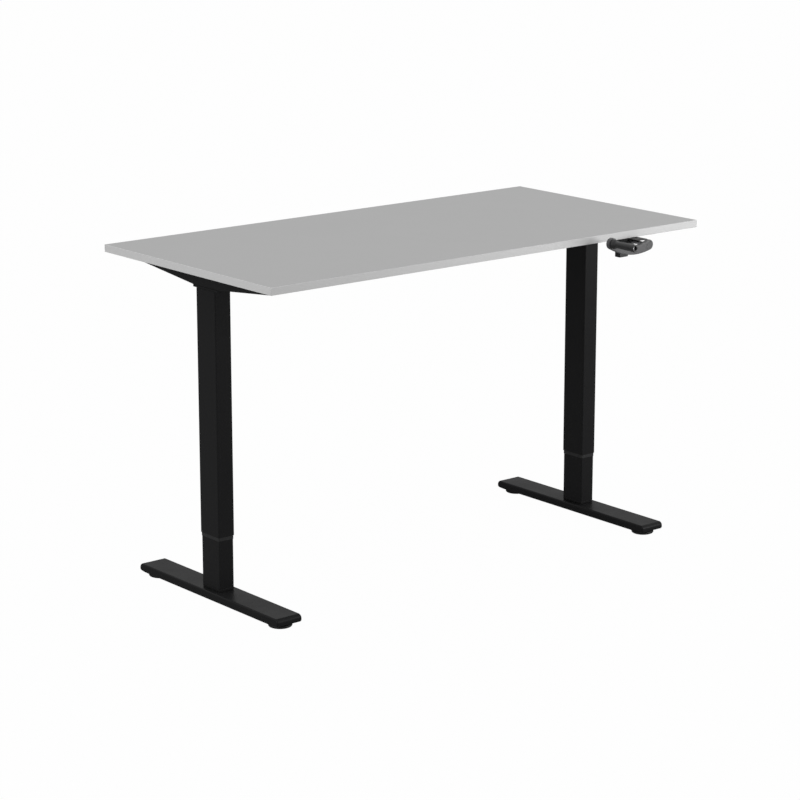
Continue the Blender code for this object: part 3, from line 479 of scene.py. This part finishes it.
def plain_steel(colours):
    return make_finish("plain_steel", colours.steel, 0.34, metallic=1.0, mottling=0.10,
                       patches=60.0, grain=1500.0, relief=0.12, depth=0.00003, uneven=0.08)


def casting(colours):
    return make_finish("cast_housing", colours.casting, 0.52, specular=0.30, mottling=0.18,
                       patches=40.0, grain=600.0, relief=0.55, depth=0.00010, uneven=0.08)


def polymer(colours):
    return make_finish("nut_polymer", colours.polymer, 0.45, specular=0.40, mottling=0.05,
                       patches=30.0, grain=900.0, relief=0.15, depth=0.00004)


def gear_steel(colours):
    return make_finish("gear_steel", colours.gear, 0.38, metallic=1.0, mottling=0.15,
                       patches=120.0, grain=1800.0, relief=0.25, depth=0.00004, uneven=0.08)


FINISHES = {
    "board_laminate": laminate, "edge_band": edge_band, "black_powder_coat": powder_coat,
    "black_plastic": black_plastic, "crank_plastic": crank_plastic,
    "grip_plastic": grip_plastic, "pad_plastic": pad_plastic,
    "zinc_plated_steel": zinc_plate, "plain_steel": plain_steel, "cast_housing": casting,
    "nut_polymer": polymer, "gear_steel": gear_steel,
}


def finish_of(slot):
    """The material of a slot, made when it is first asked for."""
    finish = bpy.data.materials.get(f"{slot}_finish")
    if finish is None:
        finish = FINISHES[slot](bpy.context.scene.desk_colours)
        finish.name = f"{slot}_finish"
    return finish


def carry_over(slot, *nodes):
    """Gives frame nodes that stay as they are their material."""
    for node in nodes:
        materials = NODES[node].data.materials
        materials.clear()
        materials.append(finish_of(slot))


# ---------------------------------------------------------------- pieces
class DESK_OT_tabletop(Operator):
    """Board with melamine faces and a band glued along each edge"""
    bl_idname = "desk.tabletop"
    bl_label = "Tabletop"

    def execute(self, context):
        sizes = context.scene.desk_sizes
        low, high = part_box("tabletop")
        band_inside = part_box("front_edge_band")[1].y
        reach = low.y - band_inside - TOUCH
        grow = Vector((reach, reach, 0))
        board = block("laminate_board", low - grow, high + grow)
        round_over(board, TOUCH * 2, 1)
        fit(board, "upper", "board_laminate", "tabletop")
        for side, axis, outward in (("front", Y, -1), ("rear", Y, 1), ("left", X, -1),
                                    ("right", X, 1)):
            node = f"{side}_edge_band"
            low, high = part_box(node)
            outer = (low if outward < 0 else high)[axis]
            band = block(f"{side}_band_strip", low, high)
            bevel_edges(band, lambda edge: lies_at(edge, axis, outer), sizes.band_radius, 3)
            fit(band, "upper", "edge_band", node)
        return {"FINISHED"}


class DESK_OT_feet(Operator):
    """Pressed feet, open below, with a nut for each levelling stud"""
    bl_idname = "desk.feet"
    bl_label = "Feet"

    def execute(self, context):
        sizes = context.scene.desk_sizes
        low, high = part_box("left_foot")
        foot = block("left_foot_pressing", low, high)
        bevel_edges(foot, lambda edge: runs_along(edge, X) and lies_at(edge, Z, high.z),
                    sizes.foot_end_radius, 10)
        bevel_edges(foot, lambda edge: runs_along(edge, X) and lies_at(edge, Z, low.z),
                    sizes.foot_toe_radius, 6)
        bevel_edges(foot, lambda edge: any(abs(face.normal.x) > 0.99 for face in edge.link_faces)
                    and not lies_at(edge, Z, low.z), sizes.foot_side_radius, 6)
        edit(foot)
        choose(foot, "FACE", lambda face: face.normal.z < -0.999)
        bpy.ops.mesh.delete(type="FACE")
        done()
        wall = foot.modifiers.new("wall", "SOLIDIFY")
        wall.thickness = sizes.foot_wall
        wall.offset = -1
        bpy.ops.object.modifier_apply(modifier=wall.name)
        round_over(foot, FINE_EDGE, 2, 60)
        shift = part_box("right_foot")[0] - low
        right = copied(foot, "right_foot_pressing", shift)
        fit(foot, "base", "black_powder_coat", "left_foot")
        fit(right, "base", "black_powder_coat", "right_foot")
        self.make_nuts(sizes, low.z + sizes.foot_wall, high.z - sizes.foot_wall)
        return {"FINISHED"}

    def make_nuts(self, sizes, bottom, top):
        nut = None
        flare, flare_height = NUT_FLARE
        for side in SIDES:
            for end in ENDS:
                low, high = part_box(f"{side}_{end}_levelling_foot")
                middle = Vector(((low.x + high.x) / 2, (low.y + high.y) / 2, bottom))
                name = f"{side}_{end}_foot_nut"
                if nut is None:
                    first = middle
                    bore, radius = sizes.stud_radius + THREAD_ROOM, sizes.boss_radius
                    height = top - bottom
                    nut = turned(name, middle, UP, [
                        (bore, 0.0), (radius - NUT_EDGE, 0.0), (radius, NUT_EDGE),
                        (radius, height - flare_height), (radius + flare, height),
                        (bore, height)],
                        sizes.round_sides, bore=True)
                    piece = nut
                else:
                    piece = copied(nut, name, middle - first)
                fit(piece, "base", "black_powder_coat")


class DESK_OT_levelling_feet(Operator):
    """Moulded levelling pads on threaded studs"""
    bl_idname = "desk.levelling_feet"
    bl_label = "Levelling feet"

    def execute(self, context):
        sizes = context.scene.desk_sizes
        low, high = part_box("left_front_levelling_foot")
        centre = Vector(((low.x + high.x) / 2, (low.y + high.y) / 2, 0.0))
        radius, height = (high.x - low.x) / 2, sizes.pad_height
        profile = [(0.80, 0.0), (0.88, 0.02), (0.94, 0.09), (0.98, 0.20), (1.0, 0.34), (1.0, 0.44),
                   (0.985, 0.55), (0.94, 0.66), (0.86, 0.75), (0.74, 0.82), (0.60, 0.87),
                   (0.44, 0.905), (0.36, 0.93), (0.34, 0.96), (0.335, 1.0)]
        pad = turned("left_front_pad_moulding", centre, UP,
                     [(radius * r, height * z) for r, z in profile], sizes.round_sides)
        thread = [(sizes.stud_radius * 0.8, height + TOUCH)]
        level = height + TOUCH
        while level + sizes.stud_pitch < high.z:
            thread += [(sizes.stud_radius, level + sizes.stud_pitch * 0.4),
                       (sizes.stud_radius, level + sizes.stud_pitch * 0.55),
                       (sizes.stud_radius * 0.84, level + sizes.stud_pitch * 0.95)]
            level += sizes.stud_pitch
        thread.append((sizes.stud_radius * 0.7, high.z))
        stud = turned("left_front_stud", centre, UP, thread, sizes.round_sides // 2)
        for side in SIDES:
            for end in ENDS:
                node = f"{side}_{end}_levelling_foot"
                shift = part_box(node)[0] - low
                body = f"{side}_{end}_pad"
                if shift.length < MERGE:
                    pieces = pad, stud
                else:
                    pieces = (copied(pad, f"{side}_{end}_pad_moulding", shift),
                              copied(stud, f"{side}_{end}_stud", shift))
                fit(pieces[0], body, "pad_plastic", node)
                fit(pieces[1], body, "zinc_plated_steel")
        return {"FINISHED"}


class DESK_OT_columns(Operator):
    """Telescoping column tubes, glide rings and end plates"""
    bl_idname = "desk.columns"
    bl_label = "Columns"

    def execute(self, context):
        sizes = context.scene.desk_sizes
        for side in SIDES:
            outer = tube(f"{side}_outer_column", *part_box(f"{side}_outer_tube"),
                         sizes.outer_radius, sizes.outer_wall)
            fit(outer, "upper", "black_powder_coat", f"{side}_outer_tube")
            inner = tube(f"{side}_inner_column", *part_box(f"{side}_inner_tube"),
                         sizes.inner_radius, sizes.inner_wall)
            fit(inner, "base", "black_powder_coat", f"{side}_inner_tube")
            low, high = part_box(f"{side}_glide_ring")
            ring = tube(f"{side}_glide_collar", low, high, sizes.outer_radius, sizes.ring_wall)
            fit(ring, "upper", "black_plastic", f"{side}_glide_ring")
            refit(f"{side}_base_plate", f"{side}_column_foot_plate", "black_powder_coat",
                  FINE_EDGE, 2)
            refit(f"{side}_top_plate", f"{side}_column_head_plate", "black_powder_coat",
                  sizes.sheet_radius, 3)
        return {"FINISHED"}


class DESK_OT_side_arms(Operator):
    """Folded steel arms that carry the top across each column"""
    bl_idname = "desk.side_arms"
    bl_label = "Side arms"

    def execute(self, context):
        radius = context.scene.desk_sizes.sheet_radius
        for side in SIDES:
            refit(f"{side}_side_arm", f"{side}_folded_arm", "black_powder_coat", radius)
        return {"FINISHED"}


class DESK_OT_rails(Operator):
    """Rails in two telescoping halves"""
    bl_idname = "desk.rails"
    bl_label = "Rails"

    def execute(self, context):
        radius = context.scene.desk_sizes.sheet_radius
        for end in ENDS:
            for side in SIDES:
                refit(f"{end}_rail_{side}", f"{end}_{side}_rail_tube", "black_powder_coat",
                      radius / 2, 2)
        return {"FINISHED"}


class DESK_OT_gearing(Operator):
    """Housings, shafts, screws, nuts and gears of the lift"""
    bl_idname = "desk.gearing"
    bl_label = "Gearing"

    def execute(self, context):
        sizes = context.scene.desk_sizes
        for side in SIDES:
            refit(f"{side}_gear_housing", f"{side}_lift_housing", "cast_housing",
                  sizes.casting_radius / 2)
            carry_over("zinc_plated_steel", f"{side}_lead_screw", f"{side}_front_base_bolt",
                       f"{side}_rear_base_bolt")
            carry_over("nut_polymer", f"{side}_screw_nut", f"{side}_top_glide")
            carry_over("plain_steel", f"{side}_thrust_bearing")
            carry_over("gear_steel", f"{side}_screw_gear", f"{side}_shaft_gear")
        refit("crank_gear_housing", "crank_lift_housing", "cast_housing", sizes.casting_radius / 2)
        refit("crank_housing_cover", "crank_lift_cover", "black_powder_coat", PLATE_EDGE)
        refit("cross_shaft", "cross_hex_bar", "zinc_plated_steel", BAR_EDGE, 2)
        carry_over("gear_steel", "cross_gear", "crank_gear")
        return {"FINISHED"}


class DESK_OT_crank(Operator):
    """Crank arm, its hub cover, shaft and grip pin"""
    bl_idname = "desk.crank"
    bl_label = "Crank"

    def execute(self, context):
        sizes = context.scene.desk_sizes
        lever = refined("crank_arm", "crank_lever", whole=False)
        fit(lever, "crank", "crank_plastic", "crank_arm")
        refit("crank_hub_cover", "crank_hub_cap", "crank_plastic", PLATE_EDGE)
        refit("crank_shaft", "crank_hex_bar", "zinc_plated_steel", FINE_EDGE, 2)
        low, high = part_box("grip_pin")
        middle = Vector(((low.x + high.x) / 2, high.y, (low.z + high.z) / 2))
        head, reach, shank = (high.x - low.x) / 2, high.y - low.y, sizes.pin_radius
        pin = turned("grip_rivet", middle, FORWARD, [
            (shank - 0.0005, 0.0), (shank, 0.0005), (shank, reach - 0.0030),
            (head, reach - 0.0030), (head, reach - 0.0016), (head * 0.93, reach - 0.0009),
            (head * 0.74, reach - 0.0003), (head * 0.45, reach - TOUCH),
            (head * 0.40, reach - 0.0006), (head * 0.10, reach - 0.0010)], sizes.round_sides)
        fit(pin, "crank", "plain_steel", "grip_pin")
        return {"FINISHED"}


class DESK_OT_grip(Operator):
    """Turning grip with a collar at the arm and a recess at its free end"""
    bl_idname = "desk.grip"
    bl_label = "Grip"

    def execute(self, context):
        sizes = context.scene.desk_sizes
        low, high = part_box("grip")
        root = Vector(((low.x + high.x) / 2, high.y, (low.z + high.z) / 2))
        reach, collar = high.y - low.y, (high.x - low.x) / 2
        tip, neck, hole = sizes.grip_tip_radius, sizes.grip_root_radius, sizes.grip_hole
        flare = sizes.grip_collar
        profile = [
            (sizes.grip_bore, 0.0), (collar - 0.0009, 0.0), (collar - 0.0003, 0.0003),
            (collar, 0.0010), (collar, flare * 0.55), (collar - 0.0006, flare * 0.85),
            (collar - 0.0018, flare), (neck + 0.0006, flare + 0.0016), (neck, flare + 0.0040)]
        steps = 10
        for step in range(1, steps + 1):
            along = step / steps
            swell = neck + (tip - neck) * along ** 1.5
            profile.append((swell, flare + 0.0040 + (reach - 0.0024 - flare - 0.0040) * along))
        profile += [
            (tip - 0.0003, reach - 0.0013), (tip - 0.0009, reach - 0.0005), (tip - 0.0018, reach),
            (hole + 0.0010, reach), (hole + 0.0002, reach - 0.0004), (hole, reach - 0.0012),
            (hole, reach - sizes.grip_recess), (sizes.grip_bore, reach - sizes.grip_recess)]
        grip = turned("turning_grip", root, FORWARD, profile, sizes.round_sides, bore=True)
        fit(grip, "grip", "grip_plastic", "grip")
        return {"FINISHED"}


class DESK_OT_crank_support(Operator):
    """Plate, bearing block and bush that carry the crank shaft"""
    bl_idname = "desk.crank_support"
    bl_label = "Crank support"

    def execute(self, context):
        sizes = context.scene.desk_sizes
        refit("crank_support_plate", "crank_bracket_plate", "black_powder_coat", PLATE_EDGE)
        refit("crank_bearing_block", "crank_bearing_moulding", "black_plastic",
              sizes.moulded_radius / 2)
        refit("crank_bush", "crank_bush_ring", "black_plastic", BAR_EDGE, 2)
        return {"FINISHED"}


class DESK_OT_fasteners(Operator):
    """Socket screws under the top, in the rails and under the crank's gear cover"""
    bl_idname = "desk.fasteners"
    bl_label = "Fasteners"

    def execute(self, context):
        sizes = context.scene.desk_sizes
        origin = Vector((0, 0, 0))
        head, height = sizes.screw_head, sizes.screw_height
        screw = turned("socket_screw", origin, DOWN, [
            (head - 0.0003, 0.0), (head, 0.0004), (head, 0.0010), (head * 0.95, height * 0.55),
            (head * 0.82, height * 0.80), (head * 0.62, height * 0.96), (head * 0.50, height)],
            sizes.round_sides // 2)
        clear_selection()
        bpy.ops.mesh.primitive_cylinder_add(vertices=6, radius=sizes.screw_socket,
                                            depth=height * 1.3, location=DOWN * height)
        socket = settle(bpy.context.object, "socket_cutter")
        pick(screw)
        cut = screw.modifiers.new("socket", "BOOLEAN")
        cut.operation = "DIFFERENCE"
        cut.object = socket
        bpy.ops.object.modifier_apply(modifier=cut.name)
        bpy.data.objects.remove(socket)
        for number, place in enumerate(self.places(sizes), 1):
            piece = copied(screw, f"frame_screw_{number:02d}", place)
            fit(piece, "upper", "zinc_plated_steel")
        bpy.data.objects.remove(screw)
        return {"FINISHED"}

    def places(self, sizes):
        """Under the web of each arm, under each larger rail half and under the gear cover."""
        found = []
        inner, outer = sizes.arm_screw_inner, sizes.arm_screw_outer
        for side in SIDES:
            low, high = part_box(f"{side}_side_arm")
            middle = (low + high) / 2
            under = high.z - sizes.arm_wall - TOUCH
            found += [Vector((middle.x, middle.y + reach, under))
                      for reach in (-outer, -inner, inner, outer)]
        for end in ENDS:
            low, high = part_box(f"{end}_rail_left")
            first = sizes.rail_screw_inset
            found += [Vector((high.x - inset, (low.y + high.y) / 2, low.z - TOUCH))
                      for inset in (first, first + sizes.rail_screw_gap)]
        low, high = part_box("crank_housing_cover")
        inset = COVER_SCREW_INSET
        found += [Vector((x, y, low.z - TOUCH)) for x in (low.x + inset, high.x - inset)
                  for y in (low.y + inset, high.y - inset)]
        return found


# ---------------------------------------------------------------- stage
def make_world(stage):
    """A plain white surround, whose light grows from the horizon to overhead."""
    world = bpy.data.worlds.new("studio")
    bpy.context.scene.world = world
    world.use_nodes = True
    nodes, links = world.node_tree.nodes, world.node_tree.links
    light, output = nodes["Background"], nodes["World Output"]
    direction = nodes.new("ShaderNodeTexCoord")
    parts = nodes.new("ShaderNodeSeparateXYZ")
    rise = nodes.new("ShaderNodeMapRange")
    rise.inputs["To Min"].default_value = stage.horizon
    rise.inputs["To Max"].default_value = stage.zenith
    links.new(direction.outputs["Generated"], parts.inputs["Vector"])
    links.new(parts.outputs["Z"], rise.inputs["Value"])
    links.new(rise.outputs["Result"], light.inputs["Strength"])
    light.inputs["Color"].default_value = (1, 1, 1, 1)
    seen = nodes.new("ShaderNodeBackground")
    seen.inputs["Color"].default_value = (1, 1, 1, 1)
    ray = nodes.new("ShaderNodeLightPath")
    mix = nodes.new("ShaderNodeMixShader")
    links.new(ray.outputs["Is Camera Ray"], mix.inputs["Fac"])
    links.new(light.outputs["Background"], mix.inputs[1])
    links.new(seen.outputs["Background"], mix.inputs[2])
    links.new(mix.outputs["Shader"], output.inputs["Surface"])


def make_floor(stage):
    """A wide pale floor that is nearly white to the eye and lights the pieces from below."""
    clear_selection()
    bpy.ops.mesh.primitive_plane_add(size=FLOOR_WIDTH, location=(0, 0, -FLOOR_DROP))
    floor = settle(bpy.context.object, "pale_floor")
    material = bpy.data.materials.new("pale_floor")
    material.use_nodes = True
    nodes, links = material.node_tree.nodes, material.node_tree.links
    matt = nodes["Principled BSDF"]
    matt.inputs["Base Color"].default_value = (*[stage.floor_tone] * 3, 1)
    matt.inputs["Roughness"].default_value = 0.9
    matt.inputs["Specular IOR Level"].default_value = 0.0
    glow = nodes.new("ShaderNodeEmission")
    ray = nodes.new("ShaderNodeLightPath")
    amount = nodes.new("ShaderNodeMath")
    amount.operation = "MULTIPLY"
    amount.inputs[1].default_value = stage.floor_glow
    mix = nodes.new("ShaderNodeMixShader")
    links.new(ray.outputs["Is Camera Ray"], amount.inputs[0])
    links.new(amount.outputs["Value"], mix.inputs["Fac"])
    links.new(matt.outputs["BSDF"], mix.inputs[1])
    links.new(glow.outputs["Emission"], mix.inputs[2])
    links.new(mix.outputs["Shader"], nodes["Material Output"].inputs["Surface"])
    floor.data.materials.append(material)


def make_light(name, place, stage, power):
    """A soft round light that faces the desk."""
    clear_selection()
    place, aim = Vector(place), Vector(stage.light_aim)
    bpy.ops.object.light_add(type="AREA", location=place,
                             rotation=(aim - place).to_track_quat("-Z", "Y").to_euler())
    lamp = bpy.context.object
    lamp.name = name
    lamp.data.shape = "DISK"
    lamp.data.size = stage.light_size
    lamp.data.energy = power


class DESK_OT_stage(Operator):
    """Camera, pale floor and soft studio light"""
    bl_idname = "desk.stage"
    bl_label = "Stage"

    def execute(self, context):
        stage = context.scene.desk_stage
        context.scene.view_settings.view_transform = "Standard"
        make_world(stage)
        make_floor(stage)
        make_light("key_light", stage.key_place, stage, stage.key_power)
        make_light("fill_light", stage.fill_place, stage, stage.fill_power)
        clear_selection()
        bpy.ops.object.camera_add(
            location=stage.camera_place,
            rotation=(radians(90) - stage.camera_tilt, 0, -stage.camera_turn))
        camera = context.object
        camera.name = "desk_camera"
        camera.data.lens = stage.lens
        camera.data.clip_end = 200
        context.scene.camera = camera
        return {"FINISHED"}


# ---------------------------------------------------------------- add-on
OPERATORS = (
    DESK_OT_stage, DESK_OT_tabletop, DESK_OT_feet, DESK_OT_levelling_feet, DESK_OT_columns,
    DESK_OT_side_arms, DESK_OT_rails, DESK_OT_gearing, DESK_OT_crank, DESK_OT_grip,
    DESK_OT_crank_support, DESK_OT_fasteners,
)


class DESK_PT_pieces(Panel):
    """Pieces of the desk, each made by its own button"""
    bl_idname = "DESK_PT_pieces"
    bl_label = "Desk"
    bl_space_type = "VIEW_3D"
    bl_region_type = "UI"
    bl_category = "Desk"

    def draw(self, context):
        column = self.layout.column(align=True)
        for operator in OPERATORS:
            column.operator(operator.bl_idname)
        for group in (context.scene.desk_sizes, context.scene.desk_colours,
                      context.scene.desk_stage):
            box = self.layout.box()
            for name in group.__annotations__:
                box.prop(group, name)


CLASSES = (DeskSizes, DeskColours, DeskStage, *OPERATORS, DESK_PT_pieces)


def register():
    for item in CLASSES:
        bpy.utils.register_class(item)
    bpy.types.Scene.desk_sizes = PointerProperty(type=DeskSizes)
    bpy.types.Scene.desk_colours = PointerProperty(type=DeskColours)
    bpy.types.Scene.desk_stage = PointerProperty(type=DeskStage)


def unregister():
    del bpy.types.Scene.desk_stage
    del bpy.types.Scene.desk_colours
    del bpy.types.Scene.desk_sizes
    for item in reversed(CLASSES):
        bpy.utils.unregister_class(item)


def main():
    register()
    for operator in OPERATORS:
        group, name = operator.bl_idname.split(".")
        getattr(getattr(bpy.ops, group), name)()
    clear_selection()


if __name__ == "__main__":
    main()
